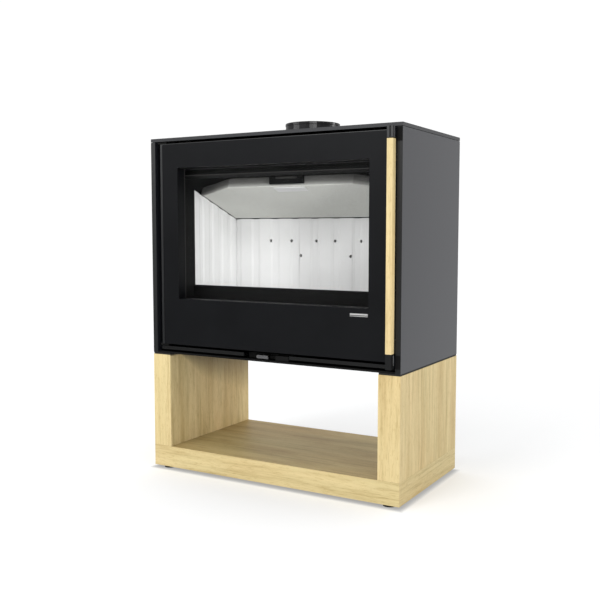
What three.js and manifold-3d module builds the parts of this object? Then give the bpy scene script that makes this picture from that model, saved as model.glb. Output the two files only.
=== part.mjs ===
// A free-standing wood burning stove: a black steel casing around a lined firebox, with one wide glazed
// door, standing on an open oak log bench. Millimetres, +Z up, front facing -Y, origin on the floor in
// the middle of the footprint.
import * as THREE from 'three';
import { mergeVertices } from 'three/addons/utils/BufferGeometryUtils.js';
import Module from 'manifold-3d';

const wasm = await Module();
wasm.setup();

// ---------------------------------------------------------------- driving dimensions
const WIDTH = 800; // casing and bench, side to side
const DEPTH = 416; // casing and bench, front to back
const CASING_HEIGHT = 630; // steel casing, underside to top
const GAP = 0.3; // air left between pieces that touch
const SHEET = 3; // folded sheet steel
const LINING = 15.5; // side lining thickness
const OVERSHOOT = 2; // how far a cutting shape runs past the piece that it cuts

// Bench
const FOOT_HEIGHT = 8;
const FOOT_RADIUS = 17.5;
const FOOT_INSET_X = 38;
const FOOT_INSET_Y = 25;
const BOARD = 62; // oak boards of the bench
const BENCH_TOP = 346;
const SPACER = 5; // strips between bench and casing
const SPACER_INSET = 1; // strip edge, inside the edge of the panel below it
const CASING_BASE = BENCH_TOP + SPACER;

// Casing
const EDGE = 15.3; // front edge of a side panel, seen from the front
const TOP_EDGE = 9.2; // visible edge of the top plate
const SEAM = 1.2; // open line between the side panels and the rim of the top plate
const FLOOR_PLATE = 5;
const FLUE_DEPTH = 260; // flue centre, behind the front face
const FLUE_RADIUS = 81; // outside of the flue collar
const FLUE_BORE = 76; // takes a 150 mm flue pipe
const FLUE_RISE = 46; // collar above the top plate

// Door, with heights above the casing underside and x from the middle of the stove
const DOOR = { left: -357, right: 357, bottom: 28.5, top: 613, depth: 38 };
const WINDOW = { left: -303, right: 309, bottom: 163.6, top: 543.5 };
const DOOR_FACE = 4; // door face plate
const STILE = { left: -367.7, right: -357.3, depth: 24 };
const HINGE = { x: -362.5, depth: 12, pinRadius: 3, boreRadius: 3.4, reach: 30 };
const GLASS_THICKNESS = 4;
const GLASS_FRONT = 35.3; // front of the glass, behind the door face
const GLASS_LAP = 15; // glass beyond the window on each side
const GASKET = 3.3; // gasket between the window reveal and the glass, with its air gap

// Handle, turning on a shaft in the channel to the right of the door
const GRIP = { left: 366, right: 382, front: -20, back: -1.8 };
const GRIP_BOTTOM = 48.9;
const GRIP_TOP = 591.5;
const HANDLE_BOTTOM = 12.5;
const HANDLE_TOP = 620;
const SHAFT = { x: 364.5, depth: 14, radius: 4.8, journal: 4 };

// Firebox
const FRAME_FRONT = 50; // steel plate that the door seals against
const FRAME_PLATE = 5;
const MOUTH = { half: 332, bottom: 118, top: 545 };
const LINING_FRONT = 118.5;
const SLEEVE_DEPTH = LINING_FRONT - GAP; // the sleeve meets the front of the linings
const ROOF_DEPTH = 112; // the sleeve's roof stops short, so that the baffle can be lifted
const HOOK = { half: 55.5, front: 104.5, back: 111.5, bottom: 494 };
const SHELL = { half: 352, bottom: 50, top: 600, front: 55.3, back: 372, wall: 4 };
const LINING_BACK = 340; // front face of the back lining
const LINING_REAR = 364;
const HEARTH_TOP = 118; // top of the hearth lining
const HEARTH_BOTTOM = 96;
const BAFFLE_BACK_HEIGHT = 401.7; // underside of the baffle where it meets the back lining
const BAFFLE_SLOPE = 20.8; // degrees, rising to the front
const BAFFLE_CLEARANCE = 1.2; // open line between the baffle and the linings below it
const BAFFLE_THICKNESS = 30;
const BAFFLE_FRONT = 113;
const BAFFLE_REAR = 355; // the baffle rests on top of the back lining
const BAFFLE_SHOULDER = 168; // where its cut front corners meet the side walls
const GRATE = { half: 124.7, front: 165.3, back: 294.7, top: 110 };
const ASH_PAN = { half: 112, front: 170, back: 290, top: 92, wall: 2 };
const SIDE_FLUTE = { pitch: 50, width: 26, sink: 2.5 };
const BACK_FLUTE = { pitch: 73, width: 34, sink: 2.5 };

// Combustion air
const SPIGOT_RADIUS = 40;
const SPIGOT_HEIGHT = 66;
const SPIGOT_REACH = 20; // behind the casing, as far as the handle stands out in front
const DUCT = { half: 60, wall: 2, front: 62, bottom: 8, top: 46, riser: 376, riserTop: 118 };
const VALVE = { half: 72, front: 22, back: 61.7, bottom: 7, top: 22, wall: 2 };
const SLIDE_HEIGHTS = [16.4, 19.4];
const AIR_TAB = { left: -28.5, right: 8.5, front: -6, back: -2, bottom: 10.2, top: 19.4 };
const RECESS = { left: -76.4, right: 72.3 }; // gap in the lower trim for the air control
const TRIM = { left: -368, right: 357, bottom: 12, top: 21.7 };

// ---------------------------------------------------------------- materials
const steelMaterial = (color, roughness) =>
  new THREE.MeshStandardMaterial({ color, roughness, metalness: 0.6 });
const casingBlack = () => steelMaterial(0x26272a, 0.5);
const fireboxSteel = () => steelMaterial(0x1d1d1f, 0.7);
const brightSteel = () => steelMaterial(0x9a9b9d, 0.35);
const oak = () => new THREE.MeshStandardMaterial({ color: 0xdcc594, roughness: 0.65, metalness: 0 });
const liningWhite = () => new THREE.MeshStandardMaterial({ color: 0xe6e7e4, roughness: 0.9, metalness: 0 });
const vermiculite = () => new THREE.MeshStandardMaterial({ color: 0xb9bbb3, roughness: 0.95, metalness: 0 });
const rubber = () => new THREE.MeshStandardMaterial({ color: 0x17130c, roughness: 0.8, metalness: 0 });
const ropeSeal = () => new THREE.MeshStandardMaterial({ color: 0x3a3a38, roughness: 0.95, metalness: 0 });
const glassClear = () =>
  new THREE.MeshStandardMaterial({
    color: 0x202224,
    roughness: 0.05,
    metalness: 0,
    transparent: true,
    opacity: 0.25,
  });

// ---------------------------------------------------------------- shape helpers
const alongDepth = (depth) => depth - DEPTH / 2; // depth behind the casing front, as y
const atHeight = (height) => CASING_BASE + height; // height above the casing underside, as z

/** Box between two corners given as [min, max] pairs in x, y and z. */
function box([x0, x1], [y0, y1], [z0, z1]) {
  const geometry = new THREE.BoxGeometry(x1 - x0, y1 - y0, z1 - z0);
  return geometry.translate((x0 + x1) / 2, (y0 + y1) / 2, (z0 + z1) / 2);
}

/** The range from low to high, lengthened at both ends so that a cut goes right through. */
const through = ([low, high]) => [low - OVERSHOOT, high + OVERSHOOT];

/** Box inside the casing: x from the middle, depth behind the front, height above the underside. */
function casingBox(x, [d0, d1], [h0, h1]) {
  return box(x, [alongDepth(d0), alongDepth(d1)], [atHeight(h0), atHeight(h1)]);
}

/** Upright round bar. */
function postAt(x, y, radius, [z0, z1], sides = 24) {
  const geometry = new THREE.CylinderGeometry(radius, radius, z1 - z0, sides);
  return geometry.rotateX(Math.PI / 2).translate(x, y, (z0 + z1) / 2);
}

/** Round bar lying front to back. */
function barAlongY(x, z, radius, [y0, y1], sides = 24) {
  const geometry = new THREE.CylinderGeometry(radius, radius, y1 - y0, sides);
  return geometry.translate(x, (y0 + y1) / 2, z);
}

/** Plan outline of [x, y] points raised from z0 to z1. */
function planExtrusion(points, [z0, z1]) {
  const shape = new THREE.Shape(points.map(([x, y]) => new THREE.Vector2(x, y)));
  const geometry = new THREE.ExtrudeGeometry(shape, { depth: z1 - z0, bevelEnabled: false });
  return geometry.translate(0, 0, z0);
}

/** Side outline of [y, z] points, extruded from x0 to x1. */
function sideExtrusion(points, [x0, x1]) {
  const shape = new THREE.Shape(points.map(([y, z]) => new THREE.Vector2(y, z)));
  const geometry = new THREE.ExtrudeGeometry(shape, { depth: x1 - x0, bevelEnabled: false });
  const yzToWorld = new THREE.Matrix4().set(0, 0, 1, x0, 1, 0, 0, 0, 0, 1, 0, 0, 0, 0, 0, 1);
  return geometry.applyMatrix4(yzToWorld);
}

/** Front outline of [x, z] points, extruded from y0 back to y1. */
function frontExtrusion(points, [y0, y1]) {
  const shape = new THREE.Shape(points.map(([x, z]) => new THREE.Vector2(x, z)));
  const geometry = new THREE.ExtrudeGeometry(shape, { depth: y1 - y0, bevelEnabled: false });
  return geometry.rotateX(Math.PI / 2).translate(0, y1, 0);
}

function toSolid(geometry) {
  const bare = geometry.clone();
  bare.deleteAttribute('normal');
  bare.deleteAttribute('uv');
  const merged = mergeVertices(bare, 1e-4);
  return new wasm.Manifold(
    new wasm.Mesh({
      numProp: 3,
      vertProperties: Float32Array.from(merged.attributes.position.array),
      triVerts: Uint32Array.from(merged.index.array),
    }),
  );
}

function toGeometry(solid) {
  const mesh = solid.getMesh();
  const geometry = new THREE.BufferGeometry();
  geometry.setAttribute('position', new THREE.BufferAttribute(Float32Array.from(mesh.vertProperties), 3));
  geometry.setIndex(new THREE.BufferAttribute(Uint32Array.from(mesh.triVerts), 1));
  return geometry;
}

/** The first geometry with every other one cut out of it. */
function cut(base, tools) {
  return toGeometry(tools.reduce((solid, tool) => solid.subtract(toSolid(tool)), toSolid(base)));
}

/** All geometries joined into one solid. */
function join(geometries) {
  const [first, ...rest] = geometries.map(toSolid);
  return toGeometry(rest.reduce((solid, other) => solid.add(other), first));
}

/** Closed ring turned about the upright axis, from [radius, z] points. */
function turnedRing(profile, sides) {
  const points = [...profile, profile[0]].map(([radius, z]) => new THREE.Vector2(radius, z));
  return new THREE.LatheGeometry(points, sides).rotateX(Math.PI / 2);
}

const group = new THREE.Group();

function addPiece(name, geometry, material) {
  const mesh = new THREE.Mesh(geometry, material);
  mesh.name = name;
  geometry.computeVertexNormals();
  group.add(mesh);
}

// ---------------------------------------------------------------- bench
const halfWidth = WIDTH / 2;
const halfDepth = DEPTH / 2;
/** `count` places a pitch apart, centred on zero. */
const spread = (count, pitch) =>
  Array.from({ length: count }, (_, index) => (index - (count - 1) / 2) * pitch);

const sides = [
  { name: 'left', sign: -1 },
  { name: 'right', sign: 1 },
];

/** x range from `inner` to `outer` away from the middle, on the side given by sign. */
const sideRange = (sign, inner, outer) => (sign > 0 ? [inner, outer] : [-outer, -inner]);

function addBench() {
  const boardTop = FOOT_HEIGHT + BOARD;
  const board = box([-halfWidth, halfWidth], [-halfDepth, halfDepth], [FOOT_HEIGHT, boardTop]);
  addPiece('bench_base_board', board, oak());
  for (const { name, sign } of sides) {
    const panel = box(
      sideRange(sign, halfWidth - BOARD, halfWidth),
      [-halfDepth, halfDepth],
      [boardTop + GAP, BENCH_TOP],
    );
    addPiece(`bench_${name}_panel`, panel, oak());
    const spacer = box(
      sideRange(sign, halfWidth - BOARD + SPACER_INSET, halfWidth - SPACER_INSET),
      [-halfDepth + SPACER_INSET, halfDepth - SPACER_INSET],
      [BENCH_TOP + GAP, CASING_BASE - GAP],
    );
    addPiece(`spacer_strip_${name}`, spacer, rubber());
    for (const [end, y] of [
      ['front', -halfDepth + FOOT_INSET_Y],
      ['rear', halfDepth - FOOT_INSET_Y],
    ]) {
      const foot = postAt(sign * (halfWidth - FOOT_INSET_X), y, FOOT_RADIUS, [0, FOOT_HEIGHT - GAP], 32);
      addPiece(`foot_${end}_${name}`, foot, rubber());
    }
  }
}

// ---------------------------------------------------------------- casing
const TRAY_UNDERSIDE = CASING_HEIGHT - TOP_EDGE;
const REAR_PANEL_FRONT = DEPTH - SHEET - GAP - SHEET;

/** Folded side panel: an outer sheet with a return and a short lip at the front and at the back. */
function sidePanel(sign) {
  const lip = 20;
  const outline = [
    [halfWidth, 0],
    [halfWidth, DEPTH],
    [halfWidth - EDGE, DEPTH],
    [halfWidth - EDGE, DEPTH - SHEET],
    [halfWidth - SHEET, DEPTH - SHEET],
    [halfWidth - SHEET, SHEET],
    [halfWidth - EDGE + SHEET, SHEET],
    [halfWidth - EDGE + SHEET, lip],
    [halfWidth - EDGE, lip],
    [halfWidth - EDGE, 0],
  ];
  const points = outline.map(([x, depth]) => [sign * x, alongDepth(depth)]);
  return planExtrusion(points, [atHeight(0), atHeight(TRAY_UNDERSIDE - SEAM)]);
}

/** Cutting cylinder for the flue, through everything between two heights. */
function flueHole(radius, heights) {
  return postAt(0, alongDepth(FLUE_DEPTH), radius, through(heights).map(atHeight), 48);
}

function topPlate() {
  const plate = 4;
  const blank = casingBox([-halfWidth, halfWidth], [0, DEPTH], [TRAY_UNDERSIDE, CASING_HEIGHT]);
  const hollow = casingBox(
    [-halfWidth + plate, halfWidth - plate],
    [plate, DEPTH - plate],
    [TRAY_UNDERSIDE - OVERSHOOT, CASING_HEIGHT - plate],
  );
  return cut(blank, [hollow, flueHole(FLUE_RADIUS + 1, [TRAY_UNDERSIDE, CASING_HEIGHT])]);
}

/** Rear panel with two rows of upright convection slots and a hole for the air inlet. */
function rearPanel() {
  const depths = [REAR_PANEL_FRONT, REAR_PANEL_FRONT + SHEET];
  const halfPanel = halfWidth - SHEET - 0.5;
  const blank = casingBox([-halfPanel, halfPanel], depths, [FLOOR_PLATE + GAP, TRAY_UNDERSIDE - GAP]);
  const slotHalfWidth = 4;
  const slotPitch = 46;
  const slotsPerRow = 12;
  const rows = [
    [150, 230],
    [500, 580],
  ];
  const slots = rows.flatMap((heights) =>
    spread(slotsPerRow, slotPitch).map((x) =>
      casingBox([x - slotHalfWidth, x + slotHalfWidth], through(depths), heights),
    ),
  );
  const holeDepths = through(depths).map(alongDepth);
  const inletHole = barAlongY(0, atHeight(SPIGOT_HEIGHT), SPIGOT_RADIUS + 1.5, holeDepths, 32);
  return cut(blank, [...slots, inletHole]);
}

/** Angle rail under the door, with its face to the front. */
function lowerTrim(xRange) {
  const face = 1;
  const outline = [
    [face, TRIM.bottom],
    [FRAME_FRONT - GAP, TRIM.bottom],
    [FRAME_FRONT - GAP, TRIM.bottom + SHEET],
    [face + SHEET, TRIM.bottom + SHEET],
    [face + SHEET, TRIM.top],
    [face, TRIM.top],
  ];
  return sideExtrusion(
    outline.map(([depth, height]) => [alongDepth(depth), atHeight(height)]),
    xRange,
  );
}

function addCasing() {
  const floorHalf = halfWidth - EDGE - GAP;
  const floor = casingBox([-floorHalf, floorHalf], [0.5, REAR_PANEL_FRONT - GAP], [0, FLOOR_PLATE]);
  addPiece('casing_floor_plate', floor, casingBlack());
  for (const { name, sign } of sides) {
    addPiece(`casing_side_${name}`, sidePanel(sign), casingBlack());
  }
  addPiece('casing_top_plate', topPlate(), casingBlack());
  addPiece('casing_rear_panel', rearPanel(), casingBlack());
  addPiece('lower_trim_left', lowerTrim([TRIM.left, RECESS.left]), casingBlack());
  addPiece('lower_trim_right', lowerTrim([RECESS.right, TRIM.right]), casingBlack());
}

// ---------------------------------------------------------------- firebox
/** Steel plate with the firebox mouth, folded back into a sleeve around it. */
function frontFrame() {
  const plateHalf = 380;
  const plateHeights = [24, 612];
  const sleeveHalf = MOUTH.half + SHEET;
  const plate = casingBox(
    [-plateHalf, plateHalf],
    [FRAME_FRONT, FRAME_FRONT + FRAME_PLATE],
    plateHeights,
  );
  const sleeve = casingBox(
    [-sleeveHalf, sleeveHalf],
    [FRAME_FRONT, SLEEVE_DEPTH],
    [MOUTH.bottom - SHEET, MOUTH.top + SHEET],
  );
  const mouth = casingBox(
    [-MOUTH.half, MOUTH.half],
    through([FRAME_FRONT, SLEEVE_DEPTH]),
    [MOUTH.bottom, MOUTH.top],
  );
  const roofEnd = casingBox(
    [-MOUTH.half, MOUTH.half],
    [ROOF_DEPTH, SLEEVE_DEPTH + OVERSHOOT],
    through([MOUTH.top, MOUTH.top + SHEET]),
  );
  return cut(join([plate, sleeve]), [mouth, roofEnd]);
}

/** Air holes through the back lining: [x, height] above the casing underside. */
const upperHoles = [33, 122, 198].flatMap((x) => [
  [x, 330.5],
  [-x, 330.5],
]);
const lowerHoles = [87, -87].map((x) => [x, 284.6]);
const airHoles = [...upperHoles, ...lowerHoles];

/** Cutting bars for the air holes, through everything between two depths. */
function airHoleBars(radius, depths) {
  return airHoles.map(([x, height]) =>
    barAlongY(x, atHeight(height), radius, through(depths).map(alongDepth), 12),
  );
}

function fireboxShell() {
  const { half, bottom, top, front, back, wall } = SHELL;
  const block = casingBox([-half, half], [front, back], [bottom, top]);
  const hollow = casingBox(
    [-half + wall, half - wall],
    [front - OVERSHOOT, back - wall],
    [bottom + wall, top - wall],
  );
  const outlet = flueHole(FLUE_BORE + 1, [top - wall, top]);
  return cut(block, [hollow, outlet, ...airHoleBars(5.5, [back - wall, back])]);
}

const slope = THREE.MathUtils.degToRad(BAFFLE_SLOPE);
/** Height of the baffle's underside at a depth behind the casing front. */
const baffleUnderside = (depth) => BAFFLE_BACK_HEIGHT + (LINING_BACK - depth) * Math.tan(slope);

const LINING_BLANK_TOP = 500; // the linings are cut from taller blanks

/** Everything above the line where the baffle rests on the linings. */
function spaceAboveLinings() {
  const front = SLEEVE_DEPTH;
  const rear = DEPTH;
  const top = LINING_BLANK_TOP + OVERSHOOT;
  const outline = [
    [front, baffleUnderside(front) - BAFFLE_CLEARANCE],
    [rear, baffleUnderside(rear) - BAFFLE_CLEARANCE],
    [rear, top],
    [front, top],
  ];
  return sideExtrusion(
    outline.map(([depth, height]) => [alongDepth(depth), atHeight(height)]),
    [-halfWidth, halfWidth],
  );
}

/** Face of a lining from one end to the other, as [along, sink] points, with shallow upright flutes. */
function flutedFace(start, end, { pitch, width, sink }) {
  const count = Math.floor((end - start - width) / pitch) + 1;
  const points = [[start, 0]];
  for (const offset of spread(count, pitch)) {
    const middle = (start + end) / 2 + offset;
    points.push(
      [middle - width / 2, 0],
      [middle - width / 4, sink],
      [middle + width / 4, sink],
      [middle + width / 2, 0],
    );
  }
  points.push([end, 0]);
  return points;
}

function sideLining(sign) {
  const rear = LINING_BACK - GAP;
  const face = flutedFace(LINING_FRONT, rear, SIDE_FLUTE);
  const outline = [
    ...face.map(([depth, sink]) => [MOUTH.half + sink, depth]),
    [MOUTH.half + LINING, rear],
    [MOUTH.half + LINING, LINING_FRONT],
  ];
  const upright = planExtrusion(
    outline.map(([x, depth]) => [sign * x, alongDepth(depth)]),
    [atHeight(HEARTH_TOP + GAP), atHeight(LINING_BLANK_TOP)],
  );
  return cut(upright, [spaceAboveLinings()]);
}

function backLining() {
  const half = MOUTH.half + LINING;
  const face = flutedFace(-half, half, BACK_FLUTE);
  const outline = [
    ...face.map(([x, sink]) => [x, LINING_BACK + sink]),
    [half, LINING_REAR],
    [-half, LINING_REAR],
  ];
  const slab = planExtrusion(
    outline.map(([x, depth]) => [x, alongDepth(depth)]),
    [atHeight(HEARTH_TOP + GAP), atHeight(LINING_BLANK_TOP)],
  );
  const notch = 6;
  const cornerNotches = [-MOUTH.half, MOUTH.half].map((x) =>
    casingBox(
      [x - notch / 2, x + notch / 2],
      [LINING_BACK - OVERSHOOT, LINING_BACK + notch],
      [BAFFLE_BACK_HEIGHT - notch, BAFFLE_BACK_HEIGHT + OVERSHOOT],
    ),
  );
  const holes = airHoleBars(4.5, [LINING_BACK, LINING_REAR]);
  return cut(slab, [spaceAboveLinings(), ...cornerNotches, ...holes]);
}

function hearthLining() {
  const half = MOUTH.half + LINING;
  const slab = casingBox([-half, half], [LINING_FRONT, LINING_REAR], [HEARTH_BOTTOM, HEARTH_TOP]);
  const opening = casingBox(
    [-GRATE.half - GAP, GRATE.half + GAP],
    [GRATE.front - GAP, GRATE.back + GAP],
    through([HEARTH_BOTTOM, HEARTH_TOP]),
  );
  return cut(slab, [opening]);
}

/** Folded steel bench under the hearth, with a well in the middle for the ash pan. */
function hearthSupport() {
  const outer = MOUTH.half + LINING - 0.5;
  const well = 118;
  const sheet = 4;
  const base = SHELL.bottom + SHELL.wall + GAP;
  const top = HEARTH_BOTTOM - GAP;
  const rightHalf = [
    [well + sheet, base],
    [well + sheet, top - sheet],
    [outer - sheet, top - sheet],
    [outer - sheet, base],
    [outer, base],
    [outer, top],
    [well, top],
    [well, base + 2],
  ];
  const leftHalf = rightHalf.map(([x, height]) => [-x, height]).reverse();
  const outline = [...rightHalf, ...leftHalf].map(([x, height]) => [x, atHeight(height)]);
  return frontExtrusion(outline, [alongDepth(LINING_FRONT), alongDepth(LINING_REAR)]);
}

/** Open steel pan that catches the ash below the grate. */
function ashPan() {
  const { half, front, back, top, wall } = ASH_PAN;
  const bottom = SHELL.bottom + SHELL.wall + 3;
  const tray = casingBox([-half, half], [front, back], [bottom, top]);
  const hollow = casingBox(
    [-half + wall, half - wall],
    [front + wall, back - wall],
    [bottom + wall, top + OVERSHOOT],
  );
  return cut(tray, [hollow]);
}

/** Cast grate with slots running front to back. */
function grate() {
  const heights = [HEARTH_BOTTOM, GRATE.top];
  const border = 16;
  const slotHalfWidth = 4.5;
  const slots = spread(11, 20).map((x) =>
    casingBox(
      [x - slotHalfWidth, x + slotHalfWidth],
      [GRATE.front + border, GRATE.back - border],
      through(heights),
    ),
  );
  return cut(casingBox([-GRATE.half, GRATE.half], [GRATE.front, GRATE.back], heights), slots);
}

/** Sloping insulating plate over the fire, with its two front corners cut back to the side walls. */
function bafflePlate() {
  const half = 346;
  const cornerHalf = 205;
  const along = (depth) => (depth - LINING_BACK) / Math.cos(slope);
  const outline = [
    [half, along(BAFFLE_REAR)],
    [-half, along(BAFFLE_REAR)],
    [-half, along(BAFFLE_SHOULDER)],
    [-cornerHalf, along(BAFFLE_FRONT)],
    [cornerHalf, along(BAFFLE_FRONT)],
    [half, along(BAFFLE_SHOULDER)],
  ];
  const plate = planExtrusion(outline, [0, BAFFLE_THICKNESS]);
  plate.rotateX(-slope);
  return plate.translate(0, alongDepth(LINING_BACK), atHeight(BAFFLE_BACK_HEIGHT));
}

/** Folded steel strip across the top of the mouth that turns air down over the glass. */
function airWashStrip() {
  const front = 62;
  const tip = 80;
  const flange = 88;
  const wall = 2.4;
  const roof = MOUTH.top - GAP;
  const bend = roof - 20;
  const outline = [
    [front, roof],
    [front, bend],
    [tip, bend - 8.7],
    [tip + wall / 2, bend - 6.5],
    [front + wall, bend + 1.5],
    [front + wall, roof - wall],
    [flange, roof - wall],
    [flange, roof],
  ];
  return sideExtrusion(
    outline.map(([depth, height]) => [alongDepth(depth), atHeight(height)]),
    [-MOUTH.half + 0.5, MOUTH.half - 0.5],
  );
}

/** Bracket hanging in front of the baffle, hollow behind, with a slot that has round ends. */
function baffleHook() {
  const { half, front, back, bottom } = HOOK;
  const depths = [front, back];
  const wall = 3;
  const top = MOUTH.top - GAP;
  const slot = { half: 31, height: 514, radius: 5 };
  const blank = casingBox([-half, half], depths, [bottom, top]);
  const slotBody = casingBox(
    [-slot.half, slot.half],
    through(depths),
    [slot.height - slot.radius, slot.height + slot.radius],
  );
  const endDepths = through(depths).map(alongDepth);
  const slotEnds = [-slot.half, slot.half].map((x) =>
    barAlongY(x, atHeight(slot.height), slot.radius, endDepths, 20),
  );
  const relief = casingBox(
    [-half + wall, half - wall],
    [front + wall, back + OVERSHOOT],
    [bottom + wall, top - wall],
  );
  return cut(blank, [slotBody, ...slotEnds, relief]);
}

/** Low steel rail across the front of the hearth that keeps logs off the glass. */
function logGuard() {
  const front = 109.5;
  const back = 117.5;
  const bottom = HEARTH_TOP + GAP;
  const top = 198;
  const outline = [
    [front, bottom],
    [back, bottom],
    [back, top - 4],
    [back - 2, top],
    [front + 2, top],
    [front, top - 4],
  ];
  return sideExtrusion(
    outline.map(([depth, height]) => [alongDepth(depth), atHeight(height)]),
    [-MOUTH.half + 1, MOUTH.half - 1],
  );
}

function flueCollar() {
  const bottom = SHELL.top + GAP;
  const top = CASING_HEIGHT + FLUE_RISE;
  const ring = turnedRing(
    [
      [FLUE_BORE, bottom],
      [FLUE_RADIUS - 1, bottom],
      [FLUE_RADIUS - 1, top - 8],
      [FLUE_RADIUS, top - 7],
      [FLUE_RADIUS, top - 1],
      [FLUE_RADIUS - 1, top],
      [FLUE_BORE, top],
    ],
    48,
  );
  return ring.translate(0, alongDepth(FLUE_DEPTH), CASING_BASE);
}

/** Sheet metal box open to the shell, feeding the air holes in the back lining. */
function secondaryAirChannel() {
  const half = 230;
  const wall = 2;
  const [bottom, top] = [262, 352];
  const front = SHELL.back + GAP;
  const back = front + 13;
  const blank = casingBox([-half, half], [front, back], [bottom, top]);
  const hollow = casingBox(
    [-half + wall, half - wall],
    [front - OVERSHOOT, back - wall],
    [bottom + wall, top - wall],
  );
  const inlet = casingBox([-40, 40], [front + 1, back - wall], through([bottom, bottom + wall]));
  return cut(blank, [hollow, inlet]);
}

function addFirebox() {
  addPiece('firebox_shell', fireboxShell(), fireboxSteel());
  addPiece('firebox_front_frame', frontFrame(), fireboxSteel());
  for (const { name, sign } of sides) {
    addPiece(`lining_${name}`, sideLining(sign), liningWhite());
    const leg = casingBox(sideRange(sign, 280, 330), [70, 365], [FLOOR_PLATE + GAP, SHELL.bottom - GAP]);
    addPiece(`firebox_support_${name}`, leg, fireboxSteel());
  }
  addPiece('lining_back', backLining(), liningWhite());
  addPiece('lining_hearth', hearthLining(), liningWhite());
  addPiece('hearth_support', hearthSupport(), fireboxSteel());
  addPiece('ash_pan', ashPan(), brightSteel());
  addPiece('grate', grate(), fireboxSteel());
  addPiece('baffle_plate', bafflePlate(), vermiculite());
  addPiece('baffle_hook', baffleHook(), fireboxSteel());
  addPiece('air_wash_strip', airWashStrip(), fireboxSteel());
  addPiece('log_guard', logGuard(), fireboxSteel());
  addPiece('flue_collar', flueCollar(), casingBlack());
  addPiece('secondary_air_channel', secondaryAirChannel(), fireboxSteel());
  const shield = casingBox([-340, 340], [392, 393.5], [125, 596]);
  addPiece('rear_heat_shield', shield, brightSteel());
}

// ---------------------------------------------------------------- combustion air
/** Duct from the rear air box, under the firebox, to the valve at the front. */
function airDuct() {
  const { half, wall, front, bottom, top, riser, riserTop } = DUCT;
  const back = REAR_PANEL_FRONT - GAP;
  const width = [-half, half];
  const insideWidth = [-half + wall, half - wall];
  const tube = casingBox(width, [front, back], [bottom, top]);
  const airBox = casingBox(width, [riser, back], [bottom, riserTop]);
  const insideTube = casingBox(insideWidth, [front + wall, back - wall], [bottom + wall, top - wall]);
  const insideBox = casingBox(insideWidth, [riser + wall, back - wall], [bottom + wall, riserTop - wall]);
  const throat = casingBox(insideWidth, through([front, front + wall]), [bottom + wall, VALVE.top - wall]);
  const inlet = barAlongY(
    0,
    atHeight(SPIGOT_HEIGHT),
    SPIGOT_RADIUS - 2,
    through([back - wall, back]).map(alongDepth),
    32,
  );
  const outletAbove = casingBox([-40, 40], [riser + wall, riser + 8], through([riserTop - wall, riserTop]));
  return cut(join([tube, airBox]), [insideTube, insideBox, throat, inlet, outletAbove]);
}

/** Round inlet with a flange that is screwed to the rear panel. */
function airInletSpigot() {
  const wall = 2;
  const flange = 12;
  const flangeFront = REAR_PANEL_FRONT + SHEET + GAP;
  const end = DEPTH + SPIGOT_REACH;
  const ring = turnedRing(
    [
      [SPIGOT_RADIUS - wall, flangeFront],
      [SPIGOT_RADIUS + flange, flangeFront],
      [SPIGOT_RADIUS + flange, flangeFront + wall],
      [SPIGOT_RADIUS, flangeFront + wall],
      [SPIGOT_RADIUS, end],
      [SPIGOT_RADIUS - wall, end],
    ],
    32,
  );
  ring.rotateX(-Math.PI / 2);
  return ring.translate(0, -halfDepth, atHeight(SPIGOT_HEIGHT));
}

/** Channel open to the duct behind it, with three ports in its top that the slide covers and uncovers. */
function airValveBody() {
  const { half, front, back, bottom, top, wall } = VALVE;
  const outline = [
    [front, bottom],
    [back, bottom],
    [back, bottom + wall],
    [front + wall, bottom + wall],
    [front + wall, top - wall],
    [back, top - wall],
    [back, top],
    [front, top],
  ];
  const channel = sideExtrusion(
    outline.map(([depth, height]) => [alongDepth(depth), atHeight(height)]),
    [-half, half],
  );
  const ports = spread(3, 40).map((x) => casingBox([x - 12, x + 12], [30, 48], through([top - wall, top])));
  const armSlot = casingBox([-46, 22], through([front, front + wall]), [15.5, 19.8]);
  return cut(channel, [...ports, armSlot]);
}

/** Slide plate with two ports and a lever arm that reaches forward to the tab. */
function airSlidePlate() {
  const middle = (AIR_TAB.left + AIR_TAB.right) / 2;
  const plate = casingBox([middle - 36, middle + 36], [25, 56], SLIDE_HEIGHTS);
  const arm = casingBox([middle - 6, middle + 6], [AIR_TAB.back + GAP, 30], SLIDE_HEIGHTS);
  const ports = spread(2, 40).map((x) =>
    casingBox([middle + x - 8, middle + x + 8], [33, 48], through(SLIDE_HEIGHTS)),
  );
  return cut(join([plate, arm]), ports);
}

function addAirSupply() {
  addPiece('combustion_air_duct', airDuct(), fireboxSteel());
  addPiece('air_inlet_spigot', airInletSpigot(), casingBlack());
  addPiece('air_valve_body', airValveBody(), fireboxSteel());
  addPiece('air_slide_plate', airSlidePlate(), brightSteel());
  const tab = casingBox(
    [AIR_TAB.left, AIR_TAB.right],
    [AIR_TAB.front, AIR_TAB.back],
    [AIR_TAB.bottom, AIR_TAB.top],
  );
  addPiece('air_control_tab', tab, brightSteel());
  const stop = casingBox([27, 69], [3, 22 - GAP], [6.5, 19.5]);
  addPiece('air_control_stop', stop, fireboxSteel());
}

// ---------------------------------------------------------------- door
/** Rectangular ring between an outer and an inner rectangle, standing between two depths. */
function uprightRing(outer, inner, depths) {
  const blank = casingBox([outer.left, outer.right], depths, [outer.bottom, outer.top]);
  const hole = casingBox([inner.left, inner.right], through(depths), [inner.bottom, inner.top]);
  return cut(blank, [hole]);
}

/** The same rectangle grown by a margin on all four sides. */
const grown = (rectangle, margin) => ({
  left: rectangle.left - margin,
  right: rectangle.right + margin,
  bottom: rectangle.bottom - margin,
  top: rectangle.top + margin,
});

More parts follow.
